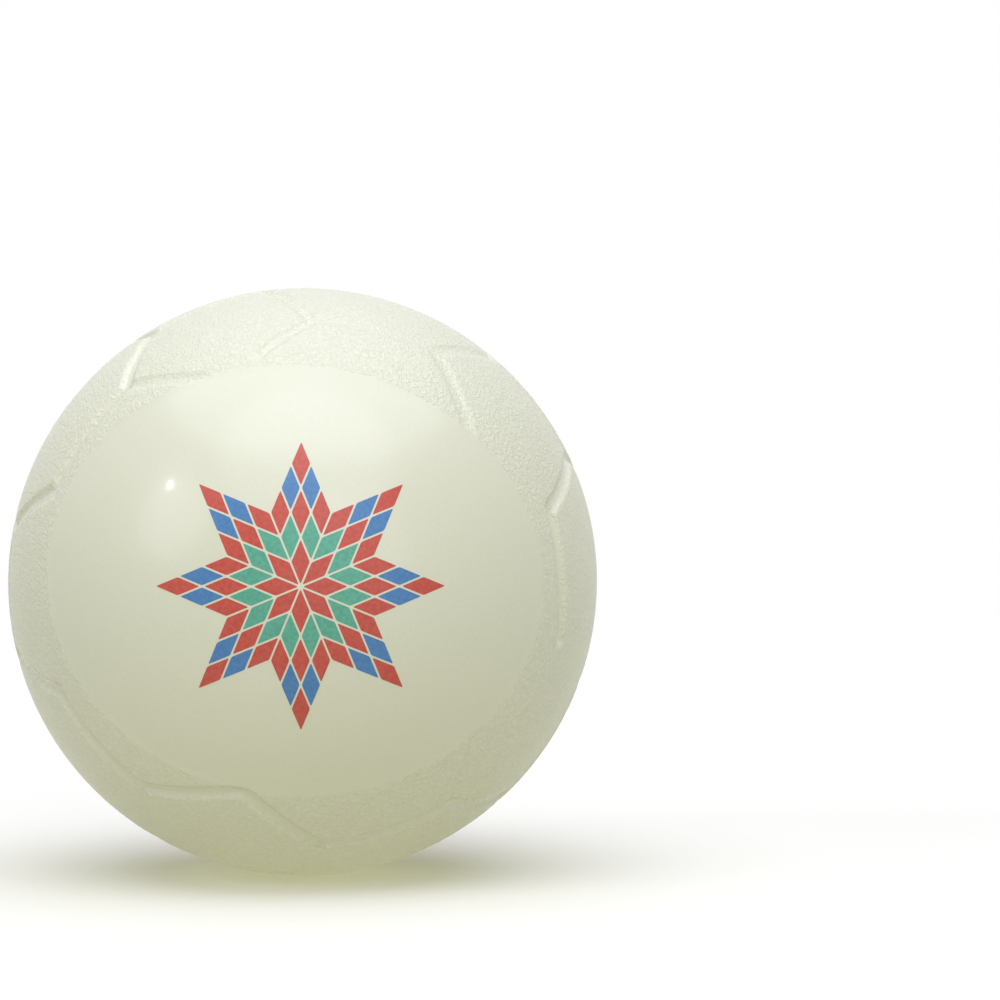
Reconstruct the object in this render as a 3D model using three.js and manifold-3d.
// Mini soccer ball: a hollow moulded vinyl skin, a valve seat bonded into it, and a push-in valve plug.
// Millimetres, +Z up. The origin is the ball's centre. The smooth imprint pad faces -Y and the valve +Y.

import * as THREE from "three";
import { mergeVertices } from "three/addons/utils/BufferGeometryUtils.js";
import Module from "manifold-3d";

// Driving dimensions of the ball
const ballDiameter = 114.3;
const wall = 1.8;

// Seam net: a pentagon faces -Y, and the net is turned about Y from +X towards +Z, in degrees.
// Each seam is a sunk groove with a flat floor and soft sloping sides.
const seamRoll = 37.6;
const seamFloorHalfWidth = 0.6;
const seamSideWidth = 1.6;
const seamDepth = 0.5;

// The mould leaves out five seams beside the imprint pad. Each is named by its middle: its angle from -Y
// and its turn past seamRoll, in degrees. The others end squarely, over the run-out's short length.
const seamsLeftOut = [[50.6, -12.4], [50.6, -59.6], [69.5, -55.2], [50.6, 131.6], [50.6, 156.4]];
const seamRunOut = 1.0;

// Imprint pad: a smooth oval, measured straight across, with its centre as seen from -Y. Its long way is
// tilted from +X towards +Z, in degrees.
const padWidth = 89.8;
const padHeight = 77.0;
const padCentreX = -0.7;
const padCentreZ = 0.7;
const padTilt = -5.3;
const padRecess = 0.15;
const padEdge = 1.2;

// Valve plug: a flat head and a stem with grip rings, whose places are shares of the stem from the head
const plugHeadRadius = 3.2;
const plugHeadThickness = 1.2;
const plugHeadSink = 0.1;
const plugStemRadius = 1.6;
const plugStemLength = 9.0;
const plugRingHeight = 0.3;
const plugRingLength = 1.4;
const plugRingPlaces = [0.65, 0.35];
const plugTipTaper = 0.5;
const plugEdge = 0.2;

// Valve seat: a collar in the skin's hole, a flange inside the wall and a hollow nose
const valveClearance = 0.3;
const seatRim = 1.6;
const seatRecess = 0.2;
const seatFlangeOverlap = 2.8;
const seatFlangeThickness = 1.4;
const seatFlangeClearance = 0.45;
const seatNoseWall = 1.9;
const seatNoseTipWall = 1.0;
const seatNosePastStem = 2.0;
const seatEdge = 0.3;
const notchWidth = 3.0;
const notchReach = 0.9;
const notchDepth = 1.1;

// Fineness of the facets
const edgeSteps = 4;
const leastGap = 0.05;
const widestGap = 1.4 / edgeSteps;
const turnedSteps = 40;

// Sizes that follow
const ballRadius = ballDiameter / 2;
const innerRadius = ballRadius - wall;
const seamHalfWidth = seamFloorHalfWidth + seamSideWidth;
const plugRingRadius = plugStemRadius + plugRingHeight;
const boreRadius = plugRingRadius + valveClearance;
const counterboreRadius = plugHeadRadius + valveClearance;
const counterboreDepth = plugHeadSink + plugHeadThickness + valveClearance;
const collarRadius = counterboreRadius + seatRim;
const rimCount = 5 * edgeSteps;
const holeRadius = (collarRadius + valveClearance) / Math.cos(Math.PI / rimCount);
const valveFaceY = Math.sqrt(ballRadius ** 2 - holeRadius ** 2) - seatRecess;

// Materials: the ball's soft vinyl, and the slightly harder and whiter vinyl of its valve
const skinVinyl = new THREE.MeshStandardMaterial({ color: 0xe6e8d9, roughness: 0.42, metalness: 0 });
const seatVinyl = new THREE.MeshStandardMaterial({ color: 0xdfe0d0, roughness: 0.48, metalness: 0 });
const plugVinyl = new THREE.MeshStandardMaterial({ color: 0xf0f0e6, roughness: 0.38, metalness: 0 });

// Solids

const mergeDistance = 1e-5;

function closedGeometry(triangles) {
  const geometry = new THREE.BufferGeometry().setFromPoints(triangles.flat());
  return mergeVertices(geometry, mergeDistance);
}

// Three's own shapes keep only their corners, so that neighbouring faces share them
function mergedShape(geometry) {
  geometry.deleteAttribute("normal");
  geometry.deleteAttribute("uv");
  return mergeVertices(geometry, mergeDistance);
}

// The wall between two closed rows of points, which faces out where both rows run anticlockwise
function bridge(outer, inner) {
  const triangles = [];
  for (let i = 0; i < outer.length; i += 1) {
    const next = (i + 1) % outer.length;
    triangles.push([outer[i], outer[next], inner[next]]);
    triangles.push([outer[i], inner[next], inner[i]]);
  }
  return triangles;
}

// The triangles that close a row at one point
function fan(row, tip) {
  return row.map((point, i) => [point, row[(i + 1) % row.length], tip]);
}

function flipped(triangles) {
  return triangles.map(([a, b, c]) => [a, c, b]);
}

// A profile of [radius, y] points, closed on itself or ended on the axis, turned about Y
function turned(profile) {
  const points = profile.map(([radius, y]) => new THREE.Vector2(radius, y));
  return mergedShape(new THREE.LatheGeometry(points, turnedSteps));
}

const wasm = await Module();
wasm.setup();

function solidOf(geometry) {
  const vertProperties = new Float32Array(geometry.attributes.position.array);
  const triVerts = new Uint32Array(geometry.index.array);
  return new wasm.Manifold(new wasm.Mesh({ numProp: 3, vertProperties, triVerts }));
}

function cut(geometry, tool) {
  const mesh = solidOf(geometry).subtract(solidOf(tool)).getMesh();
  const result = new THREE.BufferGeometry();
  result.setAttribute("position", new THREE.BufferAttribute(new Float32Array(mesh.vertProperties), 3));
  result.setIndex(new THREE.BufferAttribute(new Uint32Array(mesh.triVerts), 1));
  return result;
}

// Seam net

// A direction by its angle from -Y and its turn about Y, from +X towards +Z, in degrees
function direction(fromFront, turn) {
  const polar = THREE.MathUtils.degToRad(fromFront);
  const around = THREE.MathUtils.degToRad(turn);
  const across = Math.sin(polar);
  return new THREE.Vector3(across * Math.cos(around), -Math.cos(polar), across * Math.sin(around));
}

// The twelve pentagon centres are the corners of an icosahedron
function pentagonCentres() {
  const ring = THREE.MathUtils.radToDeg(Math.atan(2));
  const centres = [direction(0, 0), direction(180, 0)];
  for (let i = 0; i < 5; i += 1) {
    centres.push(direction(ring, seamRoll + 72 * i));
    centres.push(direction(180 - ring, seamRoll + 36 + 72 * i));
  }
  return centres;
}

// Corners in order, anticlockwise seen from outside the ball
function inOrder(corners, centre) {
  const start = corners[0].clone().sub(centre);
  const side = centre.clone().cross(start);
  const turnOf = (corner) => Math.atan2(corner.dot(side), corner.dot(start));
  return [...corners].sort((a, b) => turnOf(a) - turnOf(b));
}

// Each seam corner lies a third of the way from one pentagon centre to the next
function seamCorner(near, far) {
  return near.clone().multiplyScalar(2).add(far).normalize();
}

function pentagons(centres, touching) {
  return centres.map((centre) => {
    const neighbours = centres.filter((other) => touching(centre, other));
    return { centre, corners: inOrder(neighbours.map((other) => seamCorner(centre, other)), centre) };
  });
}

function hexagons(centres, touching) {
  const faces = [];
  for (const [i, a] of centres.entries()) {
    for (const [j, b] of centres.entries()) {
      for (const [k, c] of centres.entries()) {
        if (i < j && j < k && touching(a, b) && touching(b, c) && touching(a, c)) {
          const centre = a.clone().add(b).add(c).normalize();
          const pairs = [[a, b], [b, a], [b, c], [c, b], [c, a], [a, c]];
          const corners = pairs.map(([near, far]) => seamCorner(near, far));
          faces.push({ centre, corners: inOrder(corners, centre) });
        }
      }
    }
  }
  return faces;
}

// Neighbouring pentagon centres are about 63 degrees apart, and all others more than 90
const furthestNeighbour = THREE.MathUtils.degToRad(75);

function ballFaces() {
  const centres = pentagonCentres();
  const touching = (a, b) => a !== b && a.angleTo(b) < furthestNeighbour;
  return [...pentagons(centres, touching), ...hexagons(centres, touching)];
}

// Imprint pad

// Distance outside the pad's oval, about right near its edge and negative inside it
function padDistance(point) {
  if (point.y > 0) {
    return ballRadius;
  }
  const tilt = THREE.MathUtils.degToRad(padTilt);
  const right = point.x * ballRadius - padCentreX;
  const up = point.z * ballRadius - padCentreZ;
  const along = (right * Math.cos(tilt) + up * Math.sin(tilt)) / (padWidth / 2);
  const across = (up * Math.cos(tilt) - right * Math.sin(tilt)) / (padHeight / 2);
  return (Math.hypot(along, across) - 1) * (padWidth + padHeight) / 4;
}

function padShare(point) {
  return 1 - THREE.MathUtils.smoothstep(padDistance(point), -padEdge / 2, padEdge / 2);
}

// Ends of the seams

// A seam's length, which is the same for all, from one corner of the net to the next
function lengthOfSeams() {
  const [centre, , neighbour] = pentagonCentres();
  return seamCorner(centre, neighbour).angleTo(seamCorner(neighbour, centre)) * ballRadius;
}

const seamLength = lengthOfSeams();
const leftOutMiddles = seamsLeftOut.map(([fromFront, turn]) => direction(fromFront, seamRoll + turn));

// A seam that is left out is filled up to the grooves that pass its ends, counted from its middle
const fillEnd = seamLength / 2 - seamHalfWidth;
const fillStart = fillEnd - seamRunOut;

// How much of its depth a groove has here: none on the pad and on seams that are left out
function seamShare(point) {
  let share = THREE.MathUtils.clamp(padDistance(point) / seamRunOut, 0, 1);
  for (const middle of leftOutMiddles) {
    const reach = point.angleTo(middle) * ballRadius;
    share *= THREE.MathUtils.clamp((reach - fillStart) / seamRunOut, 0, 1);
  }
  return share;
}

function isLeftOut(a, b) {
  const middle = a.clone().add(b).normalize();
  return leftOutMiddles.some((other) => other.angleTo(middle) * ballRadius < seamHalfWidth);
}

// Where on the way from a to b the distance from the pad reaches a value, or null
function crossing(a, b, value) {
  const distanceAt = (share) => padDistance(a.clone().lerp(b, share).normalize()) - value;
  if (distanceAt(0) * distanceAt(1) > 0) {
    return null;
  }
  let low = 0;
  let high = 1;
  while (high - low > 1e-7) {
    const middle = (low + high) / 2;
    if (distanceAt(low) * distanceAt(middle) > 0) {
      low = middle;
    } else {
      high = middle;
    }
  }
  return low;
}

// Shares of a seam's length at which it is divided: where it starts to run out and where it ends,
// and then the middle of the widest gap until all are short
function seamDivisions(a, b) {
  if (a.x + 2 * a.y + 3 * a.z > b.x + 2 * b.y + 3 * b.z) {
    return seamDivisions(b, a).map((share) => 1 - share).reverse();
  }
  const marks = [crossing(a, b, 0), crossing(a, b, seamRunOut)];
  if (isLeftOut(a, b)) {
    for (const reach of [-fillEnd, -fillStart, fillStart, fillEnd]) {
      marks.push(0.5 + reach / seamLength);
    }
  }
  const between = marks.filter((share) => share !== null && share > leastGap && share < 1 - leastGap);
  const shares = [0, 1, ...between];
  for (;;) {
    shares.sort((p, q) => p - q);
    const gaps = shares.slice(1).map((share, i) => share - shares[i]);
    const widest = gaps.indexOf(Math.max(...gaps));
    if (gaps[widest] < widestGap) {
      return shares;
    }
    shares.push(shares[widest] + gaps[widest] / 2);
  }
}

// A closed row of directions round a face, at a share of the way from its seams to its centre
function faceRow(face, inward) {
  const row = [];
  for (const [i, corner] of face.corners.entries()) {
    const next = face.corners[(i + 1) % face.corners.length];
    const from = corner.clone().lerp(face.centre, inward);
    const to = next.clone().lerp(face.centre, inward);
    for (const share of seamDivisions(corner, next).slice(0, -1)) {
      row.push(from.clone().lerp(to, share).normalize());
    }
  }
  return row;
}

// Ball skin

// Depth of the groove at a distance from the seam's middle
function grooveDepth(distance) {
  return seamDepth * (1 - THREE.MathUtils.smoothstep(distance, seamFloorHalfWidth, seamHalfWidth));
}

function skinPoint(point, distance) {
  const sunk = grooveDepth(distance) * seamShare(point) + padRecess * padShare(point);
  return point.clone().multiplyScalar(ballRadius - sunk);
}

// The valve hole's rim on a sphere, with one point for each point of a row round it
function valveRim(row, sphereRadius) {
  const height = Math.sqrt(sphereRadius ** 2 - holeRadius ** 2);
  return row.map((point) => new THREE.Vector3(point.x, 0, point.z).setLength(holeRadius).setY(height));
}

// Shares of the way from the groove's edge to the face's centre, or to the valve hole
const panelSteps = [1 / 3, 2 / 3];

// Rows of points from the seams inwards over a face's groove and panel
function outerRows(face, seamToCentre, holdsValve) {
  const sideMiddle = seamFloorHalfWidth + seamSideWidth / 2;
  const grooveDistances = [0, seamFloorHalfWidth, sideMiddle, seamHalfWidth];
  const rows = grooveDistances.map((distance) => {
    return faceRow(face, distance / seamToCentre).map((point) => skinPoint(point, distance));
  });
  const shoulder = faceRow(face, seamHalfWidth / seamToCentre);
  const ends = holdsValve ? valveRim(shoulder, ballRadius) : shoulder.map(() => face.centre);
  for (const step of panelSteps) {
    const row = shoulder.map((point, i) => {
      const end = ends[i].clone().normalize();
      return point.clone().lerp(end, step).normalize();
    });
    rows.push(row.map((point) => skinPoint(point, seamHalfWidth)));
  }
  return rows;
}

// The inside of the wall: a plain sphere that is divided along the same seams
function innerRows(face, holdsValve) {
  const seams = faceRow(face, 0);
  const ends = holdsValve ? valveRim(seams, innerRadius) : seams.map(() => face.centre);
  const middle = seams.map((point, i) => point.clone().add(ends[i].clone().normalize()).normalize());
  return [seams, middle].map((row) => row.map((point) => point.clone().multiplyScalar(innerRadius)));
}

function skinFace(face) {
  const edgeMiddle = face.corners[0].clone().add(face.corners[1]).normalize();
  const seamToCentre = edgeMiddle.angleTo(face.centre) * ballRadius;
  const holdsValve = face.centre.y > 1 - 1e-6;
  const outside = outerRows(face, seamToCentre, holdsValve);
  const inside = innerRows(face, holdsValve);
  const triangles = [];
  for (let i = 1; i < outside.length; i += 1) {
    triangles.push(...bridge(outside[i - 1], outside[i]));
  }
  triangles.push(...flipped(bridge(inside[0], inside[1])));
  const lastOutside = outside[outside.length - 1];
  if (holdsValve) {
    const outerRim = valveRim(lastOutside, ballRadius);
    const innerRim = valveRim(lastOutside, innerRadius);
    triangles.push(...bridge(lastOutside, outerRim));
    triangles.push(...bridge(outerRim, innerRim));
    triangles.push(...bridge(innerRim, inside[1]));
  } else {
    triangles.push(...fan(lastOutside, skinPoint(face.centre, seamToCentre)));
    triangles.push(...flipped(fan(inside[1], face.centre.clone().multiplyScalar(innerRadius))));
  }
  return triangles;
}

function ballSkin() {
  return closedGeometry(ballFaces().flatMap(skinFace));
}

// Valve seat

function valveSeat() {
  const flangeRadius = collarRadius + seatFlangeOverlap;
  const flangeSphere = innerRadius - seatFlangeClearance;
  const flangeTop = Math.sqrt(flangeSphere ** 2 - collarRadius ** 2);
  const flangeEdge = Math.sqrt(flangeSphere ** 2 - flangeRadius ** 2);
  const flangeBottom = flangeEdge - seatFlangeThickness;
  const floor = valveFaceY - counterboreDepth;
  const stemEnd = valveFaceY - plugHeadSink - plugHeadThickness - plugStemLength;
  const noseTip = stemEnd - seatNosePastStem;
  const seat = turned([
    [boreRadius, noseTip],
    [boreRadius + seatNoseTipWall, noseTip],
    [boreRadius + seatNoseWall, flangeBottom],
    [flangeRadius, flangeBottom],
    [flangeRadius, flangeEdge],
    [collarRadius, flangeTop],
    [collarRadius, valveFaceY - seatEdge],
    [collarRadius - seatEdge, valveFaceY],
    [counterboreRadius, valveFaceY],
    [counterboreRadius, floor],
    [boreRadius, floor],
    [boreRadius, noseTip],
  ]);
  // The thumbnail notch lets the plug's head be lifted
  const notchLength = counterboreRadius + notchReach;
  const notch = new THREE.BoxGeometry(notchWidth, 2 * notchDepth, notchLength);
  notch.translate(0, valveFaceY, notchLength / 2);
  return cut(seat, mergedShape(notch));
}

// Valve plug

function valvePlug() {
  const headTop = valveFaceY - plugHeadSink;
  const headBottom = headTop - plugHeadThickness;
  const stemEnd = headBottom - plugStemLength;
  const profile = [
    [0, stemEnd],
    [plugStemRadius - plugTipTaper, stemEnd],
    [plugStemRadius, stemEnd + 2 * plugTipTaper],
  ];
  for (const place of plugRingPlaces) {
    const ring = headBottom - place * plugStemLength;
    profile.push([plugStemRadius, ring - plugRingLength / 2]);
    profile.push([plugRingRadius, ring]);
    profile.push([plugStemRadius, ring + plugRingLength / 2]);
  }
  profile.push([plugStemRadius, headBottom]);
  profile.push([plugHeadRadius, headBottom]);
  profile.push([plugHeadRadius, headTop - plugEdge]);
  profile.push([plugHeadRadius - plugEdge, headTop]);
  profile.push([0, headTop]);
  return turned(profile);
}

// The assembled ball

function named(name, geometry, material) {
  const mesh = new THREE.Mesh(geometry, material);
  mesh.name = name;
  return mesh;
}

const ball = new THREE.Group();
ball.add(named("ball_skin", ballSkin(), skinVinyl));
ball.add(named("valve_seat", valveSeat(), seatVinyl));
ball.add(named("valve_plug", valvePlug(), plugVinyl));

export default ball;
